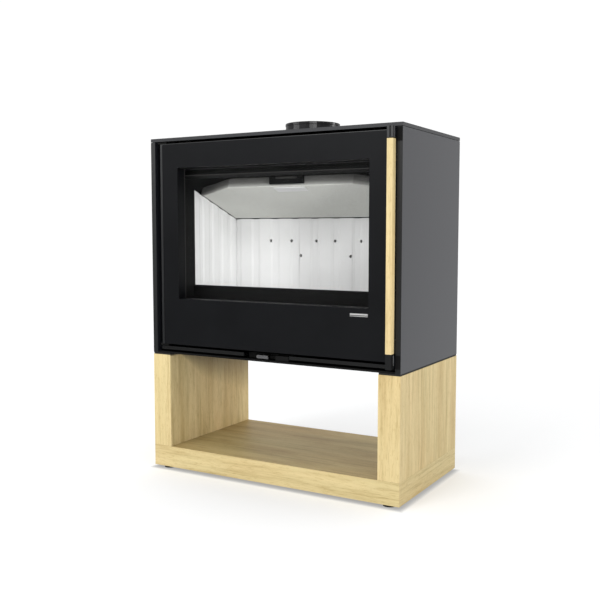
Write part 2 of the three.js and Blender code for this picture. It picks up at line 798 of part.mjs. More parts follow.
/** Door face folded back into an outer rim and, around the window, a deep reveal. */
function doorPanel() {
  const slab = casingBox([DOOR.left, DOOR.right], [0, DOOR.depth], [DOOR.bottom, DOOR.top]);
  const inside = grown(DOOR, -SHEET);
  const reveal = grown(WINDOW, SHEET);
  const hollow = uprightRing(inside, reveal, [DOOR_FACE, DOOR.depth + OVERSHOOT]);
  const rebate = casingBox(
    through([reveal.left, reveal.right]),
    [GLASS_FRONT - GASKET - GAP, DOOR.depth + OVERSHOOT],
    through([reveal.bottom, reveal.top]),
  );
  const window = casingBox(
    [WINDOW.left, WINDOW.right],
    through([0, DOOR.depth]),
    [WINDOW.bottom, WINDOW.top],
  );
  return cut(slab, [hollow, rebate, window]);
}

/** Upright bar on the hinge side with a rounded front, bored at both ends for the hinge pins. */
function hingeStile() {
  const nose = 4;
  const roundNose = [];
  const arcSteps = 5;
  for (let step = 0; step <= arcSteps; step += 1) {
    const angle = (Math.PI / 2) * (step / arcSteps);
    roundNose.push([STILE.left + nose - nose * Math.cos(angle), nose - nose * Math.sin(angle)]);
  }
  const outline = [...roundNose, [STILE.right, 0], [STILE.right, STILE.depth], [STILE.left, STILE.depth]];
  const bar = planExtrusion(
    outline.map(([x, depth]) => [x, alongDepth(depth)]),
    [atHeight(DOOR.bottom), atHeight(DOOR.top)],
  );
  const bore = (heights) =>
    postAt(HINGE.x, alongDepth(HINGE.depth), HINGE.boreRadius, heights.map(atHeight), 20);
  return cut(bar, [
    bore([DOOR.bottom - OVERSHOOT, DOOR.bottom + HINGE.reach]),
    bore([DOOR.top - HINGE.reach, DOOR.top + OVERSHOOT]),
  ]);
}

/** Frame across the back of the door that carries the rope seal and the glass retainer. */
function doorBackFrame() {
  const outer = grown(DOOR, -SHEET - 0.5);
  const inner = grown(WINDOW, GLASS_LAP + 2);
  return uprightRing(outer, inner, [GLASS_FRONT + 0.7, GLASS_FRONT + GLASS_THICKNESS + 0.7]);
}

function ropeSealRing() {
  const outer = { left: -348, right: 348, bottom: 101, top: 577 };
  const corner = 22;
  const width = 9;
  const roundedOutline = (rectangle, radius, path) => {
    const { left, right, bottom, top } = rectangle;
    path.moveTo(left + radius, bottom);
    path.lineTo(right - radius, bottom);
    path.absarc(right - radius, bottom + radius, radius, -Math.PI / 2, 0, false);
    path.lineTo(right, top - radius);
    path.absarc(right - radius, top - radius, radius, 0, Math.PI / 2, false);
    path.lineTo(left + radius, top);
    path.absarc(left + radius, top - radius, radius, Math.PI / 2, Math.PI, false);
    path.lineTo(left, bottom + radius);
    path.absarc(left + radius, bottom + radius, radius, Math.PI, Math.PI * 1.5, false);
    return path;
  };
  const shape = roundedOutline(outer, corner, new THREE.Shape());
  shape.holes.push(roundedOutline(grown(outer, -width), corner - width, new THREE.Path()));
  const depth = 9;
  const geometry = new THREE.ExtrudeGeometry(shape, { depth, bevelEnabled: false, curveSegments: 6 });
  return geometry.rotateX(Math.PI / 2).translate(0, alongDepth(FRAME_FRONT - GAP), CASING_BASE);
}

/** Bearing block on the door's right rim, bored for a journal of the handle. */
function handleBearing(heights) {
  const block = casingBox([DOOR.right + GAP, 371], [6, 22], heights);
  const boreHeights = through(heights).map(atHeight);
  const bore = postAt(SHAFT.x, alongDepth(SHAFT.depth), SHAFT.journal + 0.4, boreHeights, 20);
  return cut(block, [bore]);
}

const BEARINGS = { lower: [56, 68], upper: [572, 584] };

function addDoor() {
  addPiece('door_panel', doorPanel(), casingBlack());
  addPiece('door_hinge_stile', hingeStile(), casingBlack());
  addPiece('door_back_frame', doorBackFrame(), fireboxSteel());
  const glass = grown(WINDOW, GLASS_LAP);
  const glassPane = casingBox(
    [glass.left, glass.right],
    [GLASS_FRONT, GLASS_FRONT + GLASS_THICKNESS],
    [glass.bottom, glass.top],
  );
  addPiece('door_glass', glassPane, glassClear());
  const gasket = uprightRing(grown(WINDOW, 12), WINDOW, [GLASS_FRONT - GASKET, GLASS_FRONT - GAP]);
  addPiece('glass_gasket', gasket, ropeSeal());
  const retainerDepths = [GLASS_FRONT + GLASS_THICKNESS + 1, GLASS_FRONT + GLASS_THICKNESS + 3];
  const retainer = uprightRing(grown(WINDOW, 20), grown(WINDOW, 5), retainerDepths);
  addPiece('glass_retainer', retainer, fireboxSteel());
  addPiece('door_rope_seal', ropeSealRing(), ropeSeal());
  const badge = casingBox([257, 308], [-1.1, -GAP], [141.5, 149]);
  addPiece('blank_badge', badge, brightSteel());
  addPiece('handle_bearing_lower', handleBearing(BEARINGS.lower), fireboxSteel());
  addPiece('handle_bearing_upper', handleBearing(BEARINGS.upper), fireboxSteel());
}

function addHinges() {
  const bracket = (heights) => {
    const plate = casingBox([-376, -345], [3, FRAME_FRONT - GAP], heights);
    const holeHeights = through(heights).map(atHeight);
    const hole = postAt(HINGE.x, alongDepth(HINGE.depth), HINGE.pinRadius + GAP, holeHeights, 20);
    return cut(plate, [hole]);
  };
  const pin = (heights) =>
    postAt(HINGE.x, alongDepth(HINGE.depth), HINGE.pinRadius, heights.map(atHeight), 20);
  addPiece('hinge_bracket_lower', bracket([23, 27.8]), fireboxSteel());
  addPiece('hinge_bracket_upper', bracket([613.7, 618.5]), fireboxSteel());
  addPiece('hinge_pin_lower', pin([22, DOOR.bottom + HINGE.reach - 4]), brightSteel());
  addPiece('hinge_pin_upper', pin([DOOR.top - HINGE.reach + 4, 619.5]), brightSteel());
}

// ---------------------------------------------------------------- handle and latch
/** Extruded handle bar: a shaft with a web out to the flat plate that carries the grip. */
function handleBar() {
  const shaftY = alongDepth(SHAFT.depth);
  const webHeights = [BEARINGS.lower[1] + 4, BEARINGS.upper[0] - 4];
  const plate = casingBox([GRIP.left, GRIP.right], [GRIP.back + GAP, 3], [HANDLE_BOTTOM, HANDLE_TOP]);
  const web = casingBox([SHAFT.x - 1, SHAFT.x + 5.5], [2, SHAFT.depth], webHeights);
  const barrel = postAt(SHAFT.x, shaftY, SHAFT.radius, webHeights.map(atHeight), 24);
  const journals = postAt(
    SHAFT.x,
    shaftY,
    SHAFT.journal,
    [atHeight(BEARINGS.lower[0] - 4), atHeight(BEARINGS.upper[1] + 4)],
    24,
  );
  return join([plate, web, barrel, journals]);
}

/** Metal end of the handle; the upper one has an upright groove in its front and one in its right side. */
function handleEnd(heights, grooved) {
  const block = casingBox([GRIP.left, GRIP.right], [GRIP.front, GRIP.back], heights);
  if (!grooved) {
    return block;
  }
  const sink = 3;
  const frontGroove = casingBox(
    [GRIP.right - 6.8, GRIP.right - 2.4],
    [GRIP.front - OVERSHOOT, GRIP.front + sink],
    through(heights),
  );
  const sideGroove = casingBox(
    [GRIP.right - sink, GRIP.right + OVERSHOOT],
    [GRIP.front + 5, GRIP.front + 12],
    through(heights),
  );
  return cut(block, [frontGroove, sideGroove]);
}

const LATCH_HEIGHTS = [306, 330];

/** Steel arm on the shaft that reaches back beside the keeper when the handle is home. */
function latchHook() {
  const clampFront = SHAFT.depth + SHAFT.radius + GAP;
  const outline = [
    [361, clampFront],
    [368, clampFront],
    [368, 47.5],
    [358.5, 47.5],
    [358.5, 43],
    [361, 43],
  ];
  return planExtrusion(
    outline.map(([x, depth]) => [x, alongDepth(depth)]),
    LATCH_HEIGHTS.map(atHeight),
  );
}

/** Keeper screwed to the firebox frame, with a lip that faces the latch. */
function latchKeeper() {
  const outline = [
    [348.5, FRAME_FRONT - GAP],
    [357.5, FRAME_FRONT - GAP],
    [357.5, 40.5],
    [355.2, 40.5],
    [355.2, 47],
    [348.5, 47],
  ];
  const heights = [LATCH_HEIGHTS[0] - 4, LATCH_HEIGHTS[1] + 4];
  return planExtrusion(
    outline.map(([x, depth]) => [x, alongDepth(depth)]),
    heights.map(atHeight),
  );
}

function addHandle() {
  addPiece('handle_bar', handleBar(), casingBlack());
  const grip = casingBox([GRIP.left, GRIP.right], [GRIP.front, GRIP.back], [GRIP_BOTTOM, GRIP_TOP]);
  addPiece('handle_grip', grip, oak());
  addPiece('handle_end_lower', handleEnd([HANDLE_BOTTOM, GRIP_BOTTOM - GAP], false), casingBlack());
  addPiece('handle_end_upper', handleEnd([GRIP_TOP + GAP, HANDLE_TOP], true), casingBlack());
  addPiece('latch_hook', latchHook(), brightSteel());
  addPiece('latch_keeper', latchKeeper(), brightSteel());
}

addBench();
addCasing();
addFirebox();
addAirSupply();
addHinges();
addDoor();
addHandle();

export default group;
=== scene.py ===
"""Wood burning stove: finishes, fine parts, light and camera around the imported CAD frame."""

import math

import bmesh
import bpy
from mathutils import Matrix, Vector


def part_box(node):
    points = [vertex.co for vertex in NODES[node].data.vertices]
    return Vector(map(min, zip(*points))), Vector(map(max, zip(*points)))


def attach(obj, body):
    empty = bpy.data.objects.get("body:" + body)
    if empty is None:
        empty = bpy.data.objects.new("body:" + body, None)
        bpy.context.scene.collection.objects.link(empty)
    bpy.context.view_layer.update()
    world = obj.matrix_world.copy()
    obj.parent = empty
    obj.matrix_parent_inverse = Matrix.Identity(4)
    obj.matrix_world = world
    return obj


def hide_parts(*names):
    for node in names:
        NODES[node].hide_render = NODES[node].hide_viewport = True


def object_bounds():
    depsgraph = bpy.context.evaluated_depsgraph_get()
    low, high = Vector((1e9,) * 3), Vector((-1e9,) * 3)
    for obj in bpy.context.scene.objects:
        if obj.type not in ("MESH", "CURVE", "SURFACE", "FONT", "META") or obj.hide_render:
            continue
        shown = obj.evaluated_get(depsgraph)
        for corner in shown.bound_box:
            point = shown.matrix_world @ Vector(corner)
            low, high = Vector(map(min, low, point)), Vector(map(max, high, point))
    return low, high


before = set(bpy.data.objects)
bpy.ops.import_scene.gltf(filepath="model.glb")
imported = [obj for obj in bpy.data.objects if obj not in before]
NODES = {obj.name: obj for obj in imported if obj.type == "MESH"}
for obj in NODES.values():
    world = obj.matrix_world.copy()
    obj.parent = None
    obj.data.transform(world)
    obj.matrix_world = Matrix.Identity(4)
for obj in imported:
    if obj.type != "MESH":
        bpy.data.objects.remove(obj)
CAD_LOW, CAD_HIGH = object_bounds()

MM = 0.001


# ---------------------------------------------------------------- camera, floor and light
CAMERA_PLACE = (1.2236, -2.1334, 0.7126)
CAMERA_DOWN = 4.737  # degrees below level
CAMERA_TURN = 30.113  # degrees to the left of straight ahead


def add_camera():
    """A 50 mm lens a little below the top of the stove, to the right of the door."""
    lens = bpy.data.cameras.new("camera")
    lens.lens = 50
    lens.sensor_width = 36
    lens.clip_start = 0.05
    lens.clip_end = 100
    camera = bpy.data.objects.new("camera", lens)
    camera.location = CAMERA_PLACE
    camera.rotation_euler = (math.radians(90 - CAMERA_DOWN), 0, math.radians(CAMERA_TURN))
    bpy.context.scene.collection.objects.link(camera)
    bpy.context.scene.camera = camera


def add_stage_sheet(name, corners, color, glow=0.0):
    """A flat sheet of the studio, which isn't part of the stove. Glow keeps the shadows on it pale."""
    mesh = bpy.data.meshes.new(name)
    mesh.from_pydata(corners, [], [(0, 1, 2, 3)])
    sheet = bpy.data.objects.new(name, mesh)
    bpy.context.scene.collection.objects.link(sheet)
    finish = Shader(name + "_finish", {"Base Color": (*color, 1), "Roughness": 0.9,
                                       "Specular IOR Level": 0.1, "Emission Color": (1, 1, 1, 1),
                                       "Emission Strength": glow})
    mesh.materials.append(finish.material)
    return sheet


def level_corners(left, front, right, back, height):
    """The corners of a level rectangle, in order around it."""
    return [(left, front, height), (right, front, height), (right, back, height), (left, back, height)]


FLOOR_HALF = 30
FLOOR_COLOR = (0.79, 0.795, 0.80)
FLOOR_GLOW = 0.21
SHADOW_COLOR = (0.22, 0.22, 0.22)
SHADOW_GLOW = 0.34
SHADOW_REACH = 0.015  # how far the widest sheet of shadow reaches past the base board
SHADOW_STEPS = 5
SHADOW_STEP_HEIGHT = 0.0001
SHADOW_PALEST = 0.85  # how near the widest sheet comes to the tone of the floor, from 0 to 1
SHADOW_FADE_POWER = 1.5


def add_floor():
    """A pale floor, and a painted shadow in the gap under the base board: grey sheets that fade out in
    steps around it.
    """
    corners = level_corners(-FLOOR_HALF, -FLOOR_HALF, FLOOR_HALF, FLOOR_HALF, 0)
    add_stage_sheet("floor", corners, FLOOR_COLOR, FLOOR_GLOW)
    (left, front, _), (right, back, _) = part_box("bench_base_board")
    for step in range(SHADOW_STEPS):
        share = 1 - step / (SHADOW_STEPS - 1)
        spread = share * SHADOW_REACH
        fade = SHADOW_PALEST * share ** SHADOW_FADE_POWER
        color = tuple(dark + fade * (pale - dark) for dark, pale in zip(SHADOW_COLOR, FLOOR_COLOR))
        glow = SHADOW_GLOW + fade * (FLOOR_GLOW - SHADOW_GLOW)
        height = SHADOW_STEP_HEIGHT * (step + 1)
        corners = level_corners(left - spread, front - spread, right + spread, back + spread, height)
        add_stage_sheet(f"shadow_under_bench_{step}", corners, color, glow)


CARD_COLOR = (0.01, 0.01, 0.01)
CARD_NEAR, CARD_FAR = 0.9, 3.2  # distances of its edges from the front of the stove
CARD_BOTTOM, CARD_TOP = 0.01, 0.95
CARD_HALF_WIDTH = 1.9
CARD_ASIDE = math.radians(32)  # to the left of straight ahead of the door


def add_dark_card():
    """A dark card leaning low in front of the door, seen only in the gloss of the black paint."""
    toward = Vector((-math.sin(CARD_ASIDE), -math.cos(CARD_ASIDE), 0))
    across = Vector((math.cos(CARD_ASIDE), -math.sin(CARD_ASIDE), 0))
    front = Vector((0, CAD_LOW[1], 0))
    corners = []
    for distance, height, side in ((CARD_NEAR, CARD_BOTTOM, -1), (CARD_NEAR, CARD_BOTTOM, 1),
                                   (CARD_FAR, CARD_TOP, 1), (CARD_FAR, CARD_TOP, -1)):
        aside = across * side * CARD_HALF_WIDTH
        corners.append(front + toward * distance + aside + Vector((0, 0, height)))
    card = add_stage_sheet("dark_card", corners, CARD_COLOR)
    card.visible_camera = False
    card.visible_diffuse = False
    card.visible_transmission = False
    card.visible_shadow = False


def add_light(name, data, place, target):
    """Stands a light at a place and aims it at a target."""
    light = bpy.data.objects.new(name, data)
    light.location = place
    light.rotation_euler = (Vector(target) - Vector(place)).to_track_quat("-Z", "Y").to_euler()
    bpy.context.scene.collection.objects.link(light)
    return light


def add_soft_box(name, place, target, size, power):
    data = bpy.data.lights.new(name, "AREA")
    data.shape = "RECTANGLE"
    data.size, data.size_y = size
    data.energy = power
    add_light(name, data, place, target)


def add_spot(name, place, target, cone_degrees, radius, power, lit_nodes):
    """A round light that only reaches the named nodes."""
    data = bpy.data.lights.new(name, "SPOT")
    data.energy = power
    data.spot_size = math.radians(cone_degrees)
    data.spot_blend = 1.0
    data.shadow_soft_size = radius
    light = add_light(name, data, place, target)
    receivers = bpy.data.collections.new(name + "_receivers")
    for node in lit_nodes:
        receivers.objects.link(NODES[node])
    light.light_linking.receiver_collection = receivers


SURROUND_STRENGTH = 1.03
LINING_NODES = ["lining_left", "lining_right", "lining_back", "lining_hearth", "baffle_plate"]
FIREBOX_NODES = LINING_NODES + ["grate", "log_guard", "firebox_front_frame"]

# Name, place, target, cone in degrees, radius, power, and the nodes that the light reaches.
NODE_LIGHTS = (
    ("firebox_light", (2.9, -2.2, 0.78), (-0.20, 0.05, 0.68), 20, 0.40, 290, FIREBOX_NODES),
    ("hearth_light", (1.65, -2.35, 2.25), (-0.27, 0.10, 0.46), 16, 0.30, 165, LINING_NODES),
    ("bench_light", (2.6, -1.9, 0.30), (-0.34, 0.26, 0.04), 14, 0.25, 150, ["bench_left_panel"]),
    ("handle_light", (3.0, -0.9, 0.5), (0.37, -0.22, 0.62), 22, 0.25, 110, ["handle_grip"]),
)

# Name, direction around the flue collar in degrees, and power.
COLLAR_LIGHTS = (
    ("collar_light_left", -135, 190),
    ("collar_light_front", -58, 330),
    ("collar_light_right", 36, 130),
)
COLLAR_TOP = Vector((0, 0.03, 1.02))
COLLAR_LIGHT_DISTANCE = 3
COLLAR_LIGHT_RISE = Vector((0, 0, 0.35))
COLLAR_LIGHT_CONE = 16
COLLAR_LIGHT_RADIUS = 0.26


def add_lights():
    """White surroundings, a soft box left of the door, and narrow lights that reach only some nodes."""
    world = bpy.data.worlds.new("studio")
    world.use_nodes = True
    background = world.node_tree.nodes["Background"]
    background.inputs["Color"].default_value = (1, 1, 1, 1)
    background.inputs["Strength"].default_value = SURROUND_STRENGTH
    bpy.context.scene.world = world
    add_soft_box("key_box", (-1.0, -4.2, 2.6), (0, -0.2, 0.6), (2.0, 1.6), 75)
    for name, place, target, cone_degrees, radius, power, lit_nodes in NODE_LIGHTS:
        add_spot(name, place, target, cone_degrees, radius, power, lit_nodes)
    for name, azimuth, power in COLLAR_LIGHTS:
        around = Vector((math.cos(math.radians(azimuth)), math.sin(math.radians(azimuth)), 0))
        place = COLLAR_TOP + COLLAR_LIGHT_DISTANCE * around + COLLAR_LIGHT_RISE
        add_spot(name, place, COLLAR_TOP, COLLAR_LIGHT_CONE, COLLAR_LIGHT_RADIUS, power, ["flue_collar"])
    bpy.context.scene.view_settings.view_transform = "Standard"


# ---------------------------------------------------------------- shader helpers
class Shader:
    """A material with one Principled shader and short calls that add and link nodes."""

    def __init__(self, name, inputs):
        self.material = bpy.data.materials.new(name)
        self.material.use_nodes = True
        self.tree = self.material.node_tree
        self.principled = self.tree.nodes["Principled BSDF"]
        for socket, value in inputs.items():
            self.principled.inputs[socket].default_value = value

    def node(self, kind, **settings):
        node = self.tree.nodes.new(kind)
        for key, value in settings.items():
            setattr(node, key, value)
        return node

    def link(self, source, target):
        self.tree.links.new(source, target)

    def place(self, stretch=(1, 1, 1), shift=(0, 0, 0)):
        """Object coordinates in metres, stretched and shifted."""
        coordinates = self.node("ShaderNodeTexCoord")
        mapping = self.node("ShaderNodeMapping")
        mapping.inputs["Scale"].default_value = stretch
        mapping.inputs["Location"].default_value = shift
        self.link(coordinates.outputs["Object"], mapping.inputs["Vector"])
        return mapping.outputs["Vector"]

    def noise(self, vector, scale, detail=3, roughness=0.5, distortion=0):
        node = self.node("ShaderNodeTexNoise")
        node.inputs["Scale"].default_value = scale
        node.inputs["Detail"].default_value = detail
        node.inputs["Roughness"].default_value = roughness
        node.inputs["Distortion"].default_value = distortion
        self.link(vector, node.inputs["Vector"])
        return node.outputs["Fac"]

    def ramp(self, value, stops):
        """Colour ramp through (position, colour) stops; a colour may be one grey number."""
        node = self.node("ShaderNodeValToRGB")
        elements = node.color_ramp.elements
        while len(elements) < len(stops):
            elements.new(0.5)
        for element, (position, color) in zip(elements, stops):
            element.position = position
            grey = isinstance(color, (int, float))
            element.color = (color, color, color, 1) if grey else (*color, 1)
        self.link(value, node.inputs["Fac"])
        return node.outputs["Color"]

    def mix(self, factor, first, second, blend="MIX"):
        node = self.node("ShaderNodeMix", data_type="RGBA", blend_type=blend)
        for socket, value in (("Factor", factor), ("A", first), ("B", second)):
            inputs = [s for s in node.inputs if s.name == socket and s.enabled]
            target = inputs[0]
            if isinstance(value, bpy.types.NodeSocket):
                self.link(value, target)
            elif socket == "Factor":
                target.default_value = value
            else:
                target.default_value = (*value, 1)
        return [s for s in node.outputs if s.enabled][0]

    def math(self, operation, first, second):
        node = self.node("ShaderNodeMath", operation=operation)
        for target, value in zip(node.inputs, (first, second)):
            if isinstance(value, bpy.types.NodeSocket):
                self.link(value, target)
            else:
                target.default_value = value
        return node.outputs["Value"]

    def facing(self, axis, limit):
        """1 on the faces that look along an axis, from either side, and 0 elsewhere."""
        parts = self.node("ShaderNodeSeparateXYZ")
        self.link(self.node("ShaderNodeTexCoord").outputs["Normal"], parts.inputs["Vector"])
        return self.math("GREATER_THAN", self.math("ABSOLUTE", parts.outputs[axis], 0), limit)

    def position(self, axis):
        """Place along one axis, in metres."""
        parts = self.node("ShaderNodeSeparateXYZ")
        self.link(self.place(), parts.inputs["Vector"])
        return parts.outputs[axis]

    def along(self, origin, direction, length):
        """0 to 1 along a direction, in metres, from an origin."""
        offset = self.node("ShaderNodeVectorMath", operation="SUBTRACT")
        self.link(self.place(), offset.inputs[0])
        offset.inputs[1].default_value = origin
        onto = self.node("ShaderNodeVectorMath", operation="DOT_PRODUCT")
        self.link(offset.outputs["Vector"], onto.inputs[0])
        onto.inputs[1].default_value = direction
        return self.math("DIVIDE", onto.outputs["Value"], length)

    def color(self, socket):
        self.link(socket, self.principled.inputs["Base Color"])

    def roughness(self, socket, low, high):
        """Roughness that follows a 0 to 1 value between two limits."""
        node = self.node("ShaderNodeMapRange")
        node.inputs["To Min"].default_value = low
        node.inputs["To Max"].default_value = high
        self.link(socket, node.inputs["Value"])
        self.link(node.outputs["Result"], self.principled.inputs["Roughness"])

    def bump(self, height, strength, distance):
        node = self.node("ShaderNodeBump")
        node.inputs["Strength"].default_value = strength
        node.inputs["Distance"].default_value = distance
        self.link(height, node.inputs["Height"])
        self.link(node.outputs["Normal"], self.principled.inputs["Normal"])


# ---------------------------------------------------------------- finishes
# Near-black colour of the painted shade in the firebox: in the joints under the baffle and on the front of
# the baffle.
PAINTED_SHADE_COLOR = (0.030, 0.029, 0.028)

BAFFLE_SLOPE = math.radians(20.8)  # up towards the door
BAFFLE_UNDERSIDE = (0, 0.132, 0.7527)  # a point on the rear edge of its underside
BAFFLE_UP = (0, math.sin(BAFFLE_SLOPE), math.cos(BAFFLE_SLOPE))
BAFFLE_THICKNESS = 0.030

# Faces of the side and back linings. The joint between them and the baffle lies behind these faces.
LINING_FACE_X = 0.3302
LINING_FACE_Y = 0.1285

# A face looks along an axis where its normal's part along that axis is above this.
FACING_SIDE = 0.7


def paint(name, color, roughness, specular, grain=0.12, side_reflection_color=None):
    """Baked stove paint: a fine, even texture with faint clouding. Its sides may take a tone of their own
    as a painted reflection.
    """
    shader = Shader(name, {"Specular IOR Level": specular})
    cloud = shader.noise(shader.place(), 7, 4, 0.6)
    darker = tuple(0.88 * c for c in color)
    lighter = tuple(1.12 * c for c in color)
    clouded = shader.ramp(cloud, [(0.3, darker), (0.7, lighter)])
    # Painted reflection: the faces that look along X take a tone of their own in place of the gloss that
    # lights them.
    if side_reflection_color:
        clouded = shader.mix(shader.facing("X", FACING_SIDE), clouded, side_reflection_color)
    shader.color(clouded)
    fine = shader.noise(shader.place(), 900, 2, 0.6)
    shader.roughness(fine, roughness - 0.05, roughness + 0.07)
    shader.bump(fine, grain, 0.0004)
    return shader.material


BENCH_PANEL_TOP = 0.345
BENCH_PANEL_MIDDLE_X = 0.37
BACKWARD = (0, 1, 0)
DOWNWARD = (0, 0, -1)
# The shade ends at the higher of two slanting lines. Each one is given by the Y where it leaves the top of
# the panel, and by how far back it runs for every metre that it drops.
SHADE_FRONT_LINE = (-0.16, 1.25)
SHADE_REAR_LINE = (-0.297, 2.78)
SHADE_LEAST_REACH = 0.004
# How much of its colour the oak keeps, from the top of the panel, 0, to the end of the shade, 1.
SHADE_STOPS = [(0.0, 0.22), (0.35, 0.39), (0.5, 0.52), (0.75, 0.75), (1.0, 1.0)]


def painted_shade_under_casing(shader):
    """Painted shade: the inner faces of the bench's side panels are darkened under the stove, further down
    towards the back.
    """
    beside_bay = shader.math("LESS_THAN", shader.math("ABSOLUTE", shader.position("X"), 0),
                             BENCH_PANEL_MIDDLE_X)
    inner = shader.math("MULTIPLY", beside_bay, shader.facing("X", FACING_SIDE))
    front_line, rear_line = (shader.along((0, start, 0), BACKWARD, run)
                             for start, run in (SHADE_FRONT_LINE, SHADE_REAR_LINE))
    reach = shader.math("MAXIMUM", shader.math("MINIMUM", front_line, rear_line), SHADE_LEAST_REACH)
    below_top = shader.along((0, 0, BENCH_PANEL_TOP), DOWNWARD, 1)
    shade = shader.ramp(shader.math("DIVIDE", below_top, reach), SHADE_STOPS)
    return shader.mix(inner, (1, 1, 1), shade)


def oak(name, along, shift, tint=(0.97, 0.97, 0.97), shade=None):
    """Light lacquered oak with its grain along one axis.

    Lengthwise boards have edged ends and a painted shade on their top faces. A painted shade may also
    darken part of the board.
    """
    shader = Shader(name, {"Roughness": 0.5, "Specular IOR Level": 0.2})

    def grain(direction):
        def stretched(across, lengthwise):
            return tuple(lengthwise if axis == direction else across for axis in "XYZ")

        patch = shader.noise(shader.place(stretched(1, 0.25), shift), 5, 3, 0.6)
        broad = shader.noise(shader.place(stretched(1, 0.06), shift), 15, 4, 0.6, 0.6)
        streak = shader.noise(shader.place(stretched(1, 0.05), shift), 90, 5, 0.7)
        pores = shader.noise(shader.place(stretched(1, 0.11), shift), 430, 3, 0.7)
        base = shader.ramp(broad, [(0.30, (0.56, 0.43, 0.205)), (0.46, (0.665, 0.54, 0.285)),
                                   (0.60, (0.715, 0.585, 0.320)), (0.74, (0.75, 0.63, 0.36))])
        warm = shader.ramp(patch, [(0.34, (1.0, 0.945, 0.90)), (0.52, 1.0), (0.68, (0.97, 1.0, 1.0))])
        base = shader.mix(1.0, base, warm, "MULTIPLY")
        lines = shader.ramp(streak, [(0.32, (0.76, 0.72, 0.64)), (0.50, 1.0), (0.70, 1.06)])
        streaked = shader.mix(1.0, base, lines, "MULTIPLY")
        dark_pores = shader.ramp(pores, [(0.35, (0.74, 0.68, 0.58)), (0.46, 1.0)])
        return shader.mix(0.65, streaked, dark_pores, "MULTIPLY"), streak, pores

    color, streak, pores = grain(along)
    if along == "X":
        edging, _, _ = grain("Y")
        color = shader.mix(shader.facing("X", FACING_SIDE), color, edging)
        # Painted shade: the top faces of lengthwise boards are darkened with a cloudy tone.
        top_shade_noise = shader.noise(shader.place((0.35, 1, 1), shift), 9, 4, 0.65)
        darker = shader.ramp(top_shade_noise, [(0.34, (0.66, 0.585, 0.475)), (0.50, (0.78, 0.735, 0.65)),
                                     (0.64, (0.84, 0.80, 0.72))])
        color = shader.mix(shader.facing("Z", FACING_SIDE), color, darker, "MULTIPLY")
    if shade:
        color = shader.mix(1.0, color, shade(shader), "MULTIPLY")
    shader.color(shader.mix(1.0, color, tint, "MULTIPLY"))
    shader.roughness(streak, 0.42, 0.58)
    shader.bump(pores, 0.25, 0.0004)
    return shader.material


def lining_board(name, color, speckle_color, speckle_limit, painted_shade=None):
    """Pressed insulating board: chalky, with speckles and a slightly rough skin. A painted shade may darken
    parts of it.
    """
    shader = Shader(name, {"Specular IOR Level": 0.15})
    cloud = shader.noise(shader.place(), 11, 4, 0.6)
    base = shader.ramp(cloud, [(0.3, tuple(0.94 * c for c in color)), (0.7, color)])
    speckle = shader.noise(shader.place(), 420, 2, 0.6)
    mask = shader.ramp(speckle, [(speckle_limit, 0.0), (speckle_limit + 0.06, 1.0)])
    board = shader.mix(mask, base, speckle_color)
    if painted_shade:
        board = shader.mix(painted_shade(shader), board, PAINTED_SHADE_COLOR)
    shader.color(board)
    skin = shader.noise(shader.place(), 240, 4, 0.7)
    shader.roughness(skin, 0.75, 0.95)
    shader.bump(skin, 0.3, 0.0008)
    return shader.material


def shade_in_joints(shader):
    """Painted shade: the level faces of the side and back linings, which lie in the joint under the baffle,
    are darkened.
    """
    return shader.facing("Z", 0.3)


def shade_on_baffle(shader):
    """Painted shade: the baffle is darkened above the lower edge of its front, and where its underside
    meets the linings.
    """
    height = shader.along(BAFFLE_UNDERSIDE, BAFFLE_UP, BAFFLE_THICKNESS)
    front_shade = shader.ramp(height, [(0.0, 0.0), (0.05, 0.05), (0.12, 0.40), (0.45, 0.80), (1.0, 0.87)])
    beside = shader.math("GREATER_THAN", shader.math("ABSOLUTE", shader.position("X"), 0), LINING_FACE_X)
    behind = shader.math("GREATER_THAN", shader.position("Y"), LINING_FACE_Y)
    joint = shader.math("MULTIPLY", shader.math("MAXIMUM", beside, behind), shader.facing("Z", 0.8))
    return shader.math("MAXIMUM", front_shade, joint)


def brushed_steel(name, color, roughness, along):
    """Bare steel with fine brush lines along one axis."""
    shader = Shader(name, {"Metallic": 1.0})
    stretch = tuple(0.02 if axis == along else 1 for axis in "XYZ")
    lines = shader.noise(shader.place(stretch), 1600, 3, 0.6)
    shader.color(shader.ramp(lines, [(0.3, tuple(0.85 * c for c in color)), (0.7, color)]))
    shader.roughness(lines, roughness - 0.06, roughness + 0.1)
    shader.bump(lines, 0.08, 0.0002)
    return shader.material


def cast_iron(name):
    shader = Shader(name, {"Metallic": 0.4, "Specular IOR Level": 0.4})
    sand = shader.noise(shader.place(), 380, 4, 0.65)
    shader.color(shader.ramp(sand, [(0.3, (0.018, 0.018, 0.018)), (0.7, (0.05, 0.05, 0.05))]))
    shader.roughness(sand, 0.55, 0.8)
    shader.bump(sand, 0.5, 0.001)
    return shader.material


def rubber(name):
    shader = Shader(name, {"Specular IOR Level": 0.3})
    fine = shader.noise(shader.place(), 700, 2, 0.5)
    shader.color(shader.ramp(fine, [(0.3, (0.010, 0.010, 0.009)), (0.7, (0.020, 0.019, 0.017))]))
    shader.roughness(fine, 0.6, 0.8)
    shader.bump(fine, 0.15, 0.0003)
    return shader.material


def woven_rope(name):
    """Woven glass fibre, darkened by graphite."""
    shader = Shader(name, {"Specular IOR Level": 0.2, "Roughness": 0.9})
    fibres = shader.noise(shader.place(), 1500, 2, 0.6)
    shader.color(shader.ramp(fibres, [(0.3, (0.02, 0.02, 0.019)), (0.7, (0.075, 0.074, 0.07))]))
    shader.bump(fibres, 0.4, 0.0004)
    return shader.material


def clear_glass(name):
    """Thin clear ceramic glass that lets the light of the room reach the firebox."""
    shader = Shader(name, {"Base Color": (0.02, 0.022, 0.022, 1), "Roughness": 0.03, "Alpha": 0.05})
    return shader.material


